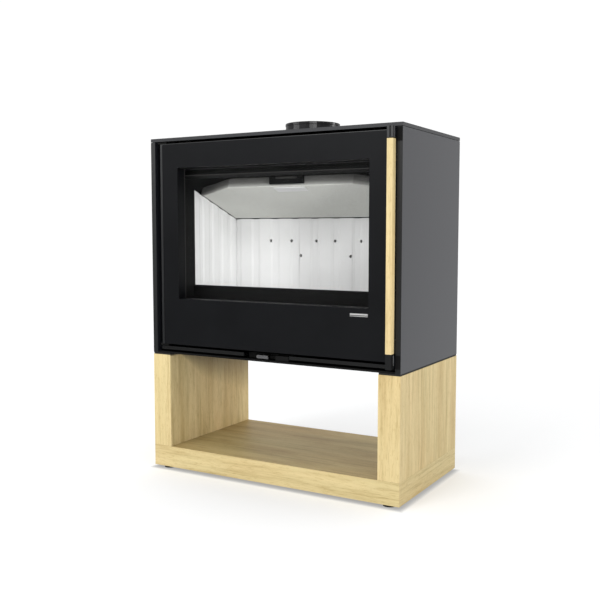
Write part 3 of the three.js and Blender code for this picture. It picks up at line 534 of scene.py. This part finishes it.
# Painted reflection: the side colours stand in for the studio's reflection on faces that look along X,
# bluish on the casing and lighter on the right side panel, whose paint has less gloss.
CASING_BLACK = (0.0150, 0.0160, 0.0168)
CASING_SIDE_REFLECTION = (0.0135, 0.0148, 0.0185)
CASING_RIGHT_SIDE_REFLECTION = (0.0412, 0.0428, 0.0488)
BOARD_WHITE = (0.89, 0.893, 0.89)
BOARD_WHITE_SPECKLE = (0.84, 0.84, 0.83)


def make_finishes():
    return {
        "casing": paint("casing_paint", CASING_BLACK, 0.34, 0.55, side_reflection_color=CASING_SIDE_REFLECTION),
        "casing_right": paint("casing_paint_right", CASING_BLACK, 0.34, 0.22,
                              side_reflection_color=CASING_RIGHT_SIDE_REFLECTION),
        "handle_end": paint("handle_end_paint", CASING_BLACK, 0.34, 0.42),
        # Lighter copy of the black paint for the side of the handle's upper end: painted light on that
        # face.
        "land": paint("handle_end_side_painted_light", (0.085, 0.085, 0.088), 0.45, 0.4),
        # Near-black paint of the pads beside the handle's ends: painted shade.
        "pad": paint("handle_shade_pad_paint", (0.006, 0.006, 0.006), 0.6, 0.08),
        "trim": paint("trim_paint", (0.0085, 0.0088, 0.0090), 0.40, 0.22),
        "collar": paint("collar_paint", (0.006, 0.006, 0.0065), 0.28, 0.10),
        "top": paint("top_plate_paint", (0.032, 0.033, 0.036), 0.45, 0.30),
        "door": paint("door_paint", (0.0066, 0.0070, 0.0080), 0.40, 0.10),
        "firebox": paint("firebox_paint", (0.006, 0.006, 0.006), 0.6, 0.10, 0.3),
        # Near-black paint: painted shade in the joint beside the door's stile and in the grooves of the
        # handle's upper end, and the printed line on the badge.
        "gap": paint("shadow_gap", (0.0018, 0.0018, 0.0018), 0.85, 0.03),
        # Grey paint for painted highlights: the hems of the air wash strip and the front corner of the
        # handle's upper end.
        "edge_highlight": paint("edge_highlight_paint", (0.045, 0.045, 0.045), 0.45, 0.5),
        "oak_x": oak("oak_lengthwise", "X", (0.3, 1.7, 0.4), (0.90, 0.905, 0.87)),
        "oak_z": oak("oak_upright", "Z", (2.1, 0.6, 1.2), (0.96, 0.935, 0.90), painted_shade_under_casing),
        "oak_grip": oak("oak_grip", "Z", (5.3, 2.9, 0.6)),
        "lining": lining_board("white_lining", BOARD_WHITE, BOARD_WHITE_SPECKLE, 0.60, shade_in_joints),
        "hearth": lining_board("white_hearth", BOARD_WHITE, BOARD_WHITE_SPECKLE, 0.60),
        "baffle": lining_board("vermiculite", (0.76, 0.77, 0.73), (0.56, 0.54, 0.49), 0.58,
                               shade_on_baffle),
        "badge": brushed_steel("badge_steel", (0.85, 0.85, 0.84), 0.45, "X"),
        "bright": brushed_steel("brushed_steel", (0.42, 0.42, 0.43), 0.34, "X"),
        "hook": brushed_steel("dark_steel", (0.20, 0.20, 0.205), 0.40, "X"),
        "shield": brushed_steel("galvanised_sheet", (0.52, 0.53, 0.55), 0.42, "Z"),
        "iron": cast_iron("cast_iron"),
        "rubber": rubber("black_rubber"),
        "rope": woven_rope("glass_fibre_rope"),
        "glass": clear_glass("ceramic_glass"),
    }


# ---------------------------------------------------------------- CAD nodes
FINISH_OF_NODE = {
    "bench_base_board": "oak_x", "bench_left_panel": "oak_z", "bench_right_panel": "oak_z",
    "handle_grip": "oak_grip",
    "foot_front_left": "rubber", "foot_front_right": "rubber", "foot_rear_left": "rubber",
    "foot_rear_right": "rubber", "spacer_strip_left": "rubber", "spacer_strip_right": "rubber",
    "door_panel": "door", "lower_trim_left": "trim", "lower_trim_right": "trim",
    "casing_floor_plate": "firebox", "casing_side_left": "casing", "casing_side_right": "casing_right",
    "casing_top_plate": "top", "casing_rear_panel": "casing", "flue_collar": "collar",
    "air_inlet_spigot": "casing", "door_hinge_stile": "casing",
    "handle_bar": "casing", "handle_end_lower": "trim", "handle_end_upper": "handle_end",
    "lining_left": "lining", "lining_right": "lining", "lining_back": "lining",
    "lining_hearth": "hearth", "baffle_plate": "baffle", "grate": "iron",
    "ash_pan": "shield", "rear_heat_shield": "shield",
    "air_slide_plate": "firebox", "air_control_tab": "bright", "blank_badge": "badge",
    "hinge_pin_lower": "bright", "hinge_pin_upper": "bright", "latch_hook": "hook",
    "latch_keeper": "bright",
    "glass_gasket": "rope", "door_rope_seal": "rope", "door_glass": "glass",
}
DEFAULT_FINISH = "firebox"

# Width of the rounded edge, in millimetres, for each finish.
EDGE_ROUND = {"oak_x": 1.2, "oak_z": 1.2, "oak_grip": 1.6, "lining": 0.5, "hearth": 1.5, "baffle": 0.8,
              "rubber": 1.0, "iron": 1.2, "glass": 0.6, "casing": 0.6, "door": 0.8, "bright": 0.3,
              "hook": 0.3, "shield": 0.3}
DEFAULT_EDGE_ROUND = 0.5
FLAT_ANGLE = math.radians(1)
SHARP_ANGLE = math.radians(30)


def soften_edges(piece, width_mm):
    """Merge flat facets, round the sharp edges and shade the rest smooth."""
    flatten = piece.modifiers.new("flatten", "DECIMATE")
    flatten.decimate_type = "DISSOLVE"
    flatten.angle_limit = FLAT_ANGLE
    bevel = piece.modifiers.new("round", "BEVEL")
    bevel.width = width_mm * MM
    bevel.segments = 3
    bevel.limit_method = "ANGLE"
    bevel.angle_limit = SHARP_ANGLE
    bevel.harden_normals = False
    normals = piece.modifiers.new("normals", "WEIGHTED_NORMAL")
    normals.keep_sharp = True
    for polygon in piece.data.polygons:
        polygon.use_smooth = True


def dress_cad_nodes(finishes):
    for name, node in NODES.items():
        finish = FINISH_OF_NODE.get(name, DEFAULT_FINISH)
        node.data.materials.clear()
        node.data.materials.append(finishes[finish])
        soften_edges(node, EDGE_ROUND.get(finish, DEFAULT_EDGE_ROUND))


# ---------------------------------------------------------------- fine parts
def add_piece(name, shape, body, finish):
    """Makes a piece from a bmesh whose points are in millimetres in the stove's frame."""
    bmesh.ops.scale(shape, vec=(MM, MM, MM), verts=shape.verts)
    bmesh.ops.recalc_face_normals(shape, faces=shape.faces)
    mesh = bpy.data.meshes.new(name)
    shape.to_mesh(mesh)
    shape.free()
    mesh.materials.append(finish)
    piece = bpy.data.objects.new(name, mesh)
    bpy.context.scene.collection.objects.link(piece)
    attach(piece, body)
    return piece


def add_block(shape, low, high):
    """Adds a box between two corners."""
    middle = [(a + b) / 2 for a, b in zip(low, high)]
    size = [b - a for a, b in zip(low, high)]
    placed = Matrix.Translation(middle) @ Matrix.Diagonal((*size, 1))
    bmesh.ops.create_cube(shape, size=1, matrix=placed)


def add_block_piece(name, blocks, body, finish, edge_round):
    """Makes a piece of one or more blocks, each given by two corners."""
    shape = bmesh.new()
    for low, high in blocks:
        add_block(shape, low, high)
    piece = add_piece(name, shape, body, finish)
    soften_edges(piece, edge_round)


def corners_mm(node):
    """The lowest and highest corners of a CAD node, in millimetres."""
    return [Vector(corner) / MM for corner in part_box(node)]


def add_loops(shape, loops, closed):
    """Joins loops of points into one skin: closed into a ring, or with a cap at both ends."""
    skins = [[shape.verts.new(point) for point in loop] for loop in loops]
    count = len(skins[0])
    pairs = list(zip(skins, skins[1:]))
    if closed:
        pairs.append((skins[-1], skins[0]))
    else:
        shape.faces.new(list(reversed(skins[0])))
        shape.faces.new(skins[-1])
    for lower, upper in pairs:
        for i in range(count):
            j = (i + 1) % count
            shape.faces.new((lower[i], lower[j], upper[j], upper[i]))


SCREW_SEGMENTS = 24
# Radius and height of each ring of a screw head, as shares of its radius.
SCREW_DOME = ((1.0, -0.02), (1.0, 0.14), (0.94, 0.32), (0.78, 0.46), (0.52, 0.53))
SCREW_SOCKET = ((0.44, 0.53), (0.42, 0.20))
SOCKET_SIDES = 6
SCREW_EDGE_ROUND = 0.15


def add_screw(shape, place, facing, radius):
    """A domed screw head with a six-sided socket that stands on a point and looks along a direction."""
    turn = Vector((0, 0, 1)).rotation_difference(Vector(facing)).to_matrix().to_4x4()
    stand = Matrix.Translation(place) @ turn

    def ring(share, height, sides):
        points = []
        for i in range(SCREW_SEGMENTS):
            angle = 2 * math.pi * i / SCREW_SEGMENTS
            reach = share * radius
            if sides:
                within = (angle + math.pi / sides) % (2 * math.pi / sides) - math.pi / sides
                reach *= math.cos(math.pi / sides) / math.cos(within)
            across = (reach * math.cos(angle), reach * math.sin(angle))
            points.append(stand @ Vector((*across, height * radius)))
        return points

    loops = [ring(share, height, 0) for share, height in SCREW_DOME]
    loops += [ring(share, height, SOCKET_SIDES) for share, height in SCREW_SOCKET]
    add_loops(shape, loops, False)


def add_screws(name, places, facing, radius, body, finishes):
    shape = bmesh.new()
    for place in places:
        add_screw(shape, place, facing, radius)
    piece = add_piece(name, shape, body, finishes["bright"])
    soften_edges(piece, SCREW_EDGE_ROUND)


ROPE_TURN = 16  # length of one turn of the twist, in millimetres
ROPE_STEP = 2.4  # distance between its rings of points
ROPE_POINTS = 14
ROPE_STRANDS = 3
ROPE_CORNER = 24
STRAND_DEPTH = 0.13  # how deep the grooves between the strands are, as a share of the radius
CORNER_STEPS = 8


def rounded_rectangle_path(low, high, corner, step):
    """Points, directions and shares of the way along a rounded rectangle in the plane of the door."""
    arcs = [((high[0] - corner, low[1] + corner), -90), ((high[0] - corner, high[1] - corner), 0),
            ((low[0] + corner, high[1] - corner), 90), ((low[0] + corner, low[1] + corner), 180)]
    outline = []
    for (x, z), start in arcs:
        for i in range(CORNER_STEPS + 1):
            angle = math.radians(start + 90 * i / CORNER_STEPS)
            outline.append(Vector((x + corner * math.cos(angle), z + corner * math.sin(angle))))
    sides = list(zip(outline, outline[1:] + outline[:1]))
    total = sum((b - a).length for a, b in sides)
    count = round(total / step)
    stations, walked, side = [], 0.0, 0
    for i in range(count):
        distance = total * i / count
        while distance > walked + (sides[side][1] - sides[side][0]).length:
            walked += (sides[side][1] - sides[side][0]).length
            side += 1
        start, end = sides[side]
        along = (end - start).normalized()
        stations.append((start + along * (distance - walked), along, distance / total))
    return stations, total


def add_door_rope(finishes):
    """Twisted rope seal in place of the plain one behind the door."""
    low, high = corners_mm("door_rope_seal")
    radius = (high.y - low.y) / 2
    depth = (high.y + low.y) / 2
    stations, length = rounded_rectangle_path((low.x + radius, low.z + radius),
                                              (high.x - radius, high.z - radius), ROPE_CORNER, ROPE_STEP)
    turns = round(length / ROPE_TURN)
    loops = []
    for middle, along, share in stations:
        outward = Vector((along.y, 0, -along.x))
        loop = []
        for i in range(ROPE_POINTS):
            angle = 2 * math.pi * i / ROPE_POINTS
            strand = math.cos(ROPE_STRANDS * angle - 2 * math.pi * turns * share)
            reach = radius * (1 - STRAND_DEPTH + STRAND_DEPTH * strand)
            loop.append(Vector((middle.x, depth, middle.y)) + outward * reach * math.cos(angle)
                        + Vector((0, reach * math.sin(angle), 0)))
        loops.append(loop)
    shape = bmesh.new()
    add_loops(shape, loops, True)
    rope = add_piece("door_rope_twisted", shape, "door", finishes["rope"])
    for polygon in rope.data.polygons:
        polygon.use_smooth = True
    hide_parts("door_rope_seal")


def add_door_parts(finishes):
    """The door's folded top edge, a painted shadow in the joint beside its stile, the line on its badge,
    and its screws.
    """
    low, high = corners_mm("door_panel")
    fold = ((low.x, low.y - 0.4, high.z - 1.6), (high.x, low.y + 3, high.z + 0.2))
    add_block_piece("door_top_edge", [fold], "door", finishes["casing"], 0.35)
    # Painted shadow: a near-black strip in the joint beside the stile.
    joint = ((low.x - 0.8, low.y - 0.15, low.z + 2), (low.x + 0.5, low.y + 3, high.z - 4.5))
    add_block_piece("stile_joint_shadow_strip", [joint], "door", finishes["gap"], 0.1)

    low, high = corners_mm("blank_badge")
    line = ((low.x + 0.4, low.y - 0.15, low.z + 1.6), (high.x - 0.4, low.y + 0.3, low.z + 3.4))
    add_block_piece("badge_dark_line", [line], "door", finishes["gap"], 0.05)

    low, high = corners_mm("glass_retainer")
    inset = 7.5
    spacing = 210
    across = [low.x + inset, low.x + inset + spacing, high.x - inset - spacing, high.x - inset]
    places = [(x, high.y, z) for x in across for z in (low.z + inset, high.z - inset)]
    middle = (low.z + high.z) / 2
    places += [(x, high.y, middle) for x in (low.x + inset, high.x - inset)]
    add_screws("glass_retainer_screws", places, (0, 1, 0), 3.2, "door", finishes)

    inset = 3.2
    places = []
    for node in ("handle_bearing_lower", "handle_bearing_upper"):
        low, high = corners_mm(node)
        places.append((low.x + inset, high.y, (low.z + high.z) / 2))
    add_screws("handle_bearing_screws", places, (0, 1, 0), 2.4, "door", finishes)


# Painted shade: near-black pads on the casing's front edge beside the handle's ends. Each pad: its name,
# the end of the handle that it lies beside, and how far below that end it starts.
HANDLE_SHADE_PADS = (("handle_shade_pad_upper", "handle_end_upper", 8), ("handle_shade_pad_lower", "handle_end_lower", 0))


def add_handle_parts(finishes):
    """Ferrules of the wooden grip, near-black pads beside the handle's ends as painted shade, and the edges
    and grooves of the ends: painted highlights on the edges and painted shade in the grooves.
    """
    low, high = corners_mm("handle_grip")
    ferrules = []
    for bottom, top in ((low.z - 0.2, low.z + 3.2), (high.z - 2.0, high.z + 0.2)):
        ferrules.append(((low.x - 0.3, low.y - 0.3, bottom), (high.x + 0.3, high.y + 0.2, top)))
    add_block_piece("grip_ferrules", ferrules, "handle", finishes["trim"], 0.5)

    fold, _ = corners_mm("casing_side_right")
    for name, end, drop in HANDLE_SHADE_PADS:
        low, high = corners_mm(end)
        pad = ((fold.x + 0.6, fold.y - 0.6, low.z - drop), (fold.x + 14.4, fold.y + 0.2, high.z - 1))
        add_block_piece(name, [pad], "stove", finishes["pad"], 0.2)

    # Painted highlight: a bright steel strip along the rear edge of the lower end's side.
    _, high = corners_mm("handle_end_lower")
    edge = ((high.x - 0.7, high.y - 3.9, high.z - 26.5), (high.x + 0.2, high.y - 2.2, high.z - 0.3))
    add_block_piece("handle_end_highlight_strip", [edge], "handle", finishes["badge"], 0.2)

    low, high = corners_mm("handle_end_upper")
    bottom, top = low.z + 0.4, high.z - 0.4
    # Painted highlight: a lighter strip along the front right edge of the upper end.
    corner = ((high.x - 1.4, low.y - 0.2, low.z + 2.2), (high.x + 0.2, low.y + 0.8, top))
    add_block_piece("handle_end_corner_highlight", [corner], "handle", finishes["edge_highlight"], 0.3)
    land = ((high.x - 6.9, low.y - 0.1, bottom), (high.x - 2.2, low.y + 3.1, top))
    add_block_piece("handle_end_front_land", [land], "handle", finishes["handle_end"], 0.2)
    # Painted light: the side land takes a lighter copy of the black paint.
    land = ((high.x - 3.1, low.y + 3.9, bottom), (high.x + 0.2, low.y + 12.1, top))
    add_block_piece("handle_end_side_land", [land], "handle", finishes["land"], 0.2)
    # Painted shade: near-black strips in the grooves of the upper end.
    grooves = [((high.x - 9.2, low.y - 0.2, bottom), (high.x - 6.2, low.y + 0.6, top)),
               ((high.x - 0.6, low.y + 0.9, bottom), (high.x + 0.2, low.y + 3.8, top))]
    add_block_piece("handle_end_groove_shade", grooves, "handle", finishes["gap"], 0.1)


AIR_INLET_SCREW_REACH = 46  # from the middle of the air inlet
AIR_INLET_SCREW_DEPTH = 2
FRONT_FRAME_SCREW_HEIGHTS = (432, 560, 800, 906)


def add_body_screws(finishes):
    """Screws of the rear panel, air inlet, firebox front frame and latch keeper."""
    low, high = corners_mm("casing_rear_panel")
    inset = 26  # clear of the side panels, which overlap the edges of the rear panel
    heights = [low.z + inset + (high.z - low.z - 2 * inset) * i / 3 for i in range(4)]
    places = [(x, high.y, z) for x in (low.x + inset, high.x - inset) for z in heights]
    add_screws("rear_panel_screws", places, (0, 1, 0), 4.2, "stove", finishes)

    low, high = corners_mm("air_inlet_spigot")
    middle = Vector(((low.x + high.x) / 2, low.y + AIR_INLET_SCREW_DEPTH, (low.z + high.z) / 2))
    places = []
    for i in range(4):
        angle = math.radians(45 + 90 * i)
        outward = Vector((math.cos(angle), 0, math.sin(angle)))
        places.append(middle + AIR_INLET_SCREW_REACH * outward)
    add_screws("air_inlet_screws", places, (0, 1, 0), 2.8, "stove", finishes)

    low, high = corners_mm("firebox_front_frame")
    inset = 14
    places = [(x, low.y, z) for x in (low.x + inset, high.x - inset) for z in FRONT_FRAME_SCREW_HEIGHTS]
    add_screws("front_frame_screws", places, (0, -1, 0), 4.0, "stove", finishes)

    low, high = corners_mm("latch_keeper")
    inset = 5
    places = [((low.x + high.x) / 2, low.y, z) for z in (low.z + inset, high.z - inset)]
    add_screws("latch_keeper_screws", places, (0, -1, 0), 2.2, "stove", finishes)


# The wear pad, measured across the stove, up the slope of the baffle and down from its underside.
WEAR_PAD_ACROSS = (-50, 52)
WEAR_PAD_OUTLINE = ((209, -0.2), (236, -0.2), (236, 2.0), (209, 2.0))
HEM_HEIGHTS = (893.6, 875.8)
HEM_HALF_WIDTH = 331
HEM_HALF_HEIGHT = 1.2
HEM_FRONT, HEM_BACK = -147.6, -146


def add_firebox_parts(finishes):
    """Wear pad on the underside of the baffle, and the folded hems of the air wash strip, whose lighter
    paint is a painted highlight on its edges.
    """
    slope_forward = Vector((0, -math.cos(BAFFLE_SLOPE), math.sin(BAFFLE_SLOPE)))
    upward = Vector(BAFFLE_UP)
    origin = Vector(BAFFLE_UNDERSIDE) / MM
    loops = []
    for x in WEAR_PAD_ACROSS:
        loop = []
        for forward, drop in WEAR_PAD_OUTLINE:
            loop.append(origin + Vector((x, 0, 0)) + slope_forward * forward - upward * drop)
        loops.append(loop)
    shape = bmesh.new()
    add_loops(shape, loops, False)
    pad = add_piece("baffle_wear_pad", shape, "baffle", finishes["hearth"])
    soften_edges(pad, 0.4)

    # Painted highlight: the hems are painted lighter than the black strip.
    hems = []
    for height in HEM_HEIGHTS:
        hems.append(((-HEM_HALF_WIDTH, HEM_FRONT, height - HEM_HALF_HEIGHT),
                     (HEM_HALF_WIDTH, HEM_BACK, height + HEM_HALF_HEIGHT)))
    add_block_piece("air_wash_hems", hems, "stove", finishes["edge_highlight"], 0.5)


# ---------------------------------------------------------------- build
add_camera()
add_floor()
add_dark_card()
add_lights()
finishes = make_finishes()
dress_cad_nodes(finishes)
add_door_rope(finishes)
add_door_parts(finishes)
add_handle_parts(finishes)
add_body_screws(finishes)
add_firebox_parts(finishes)
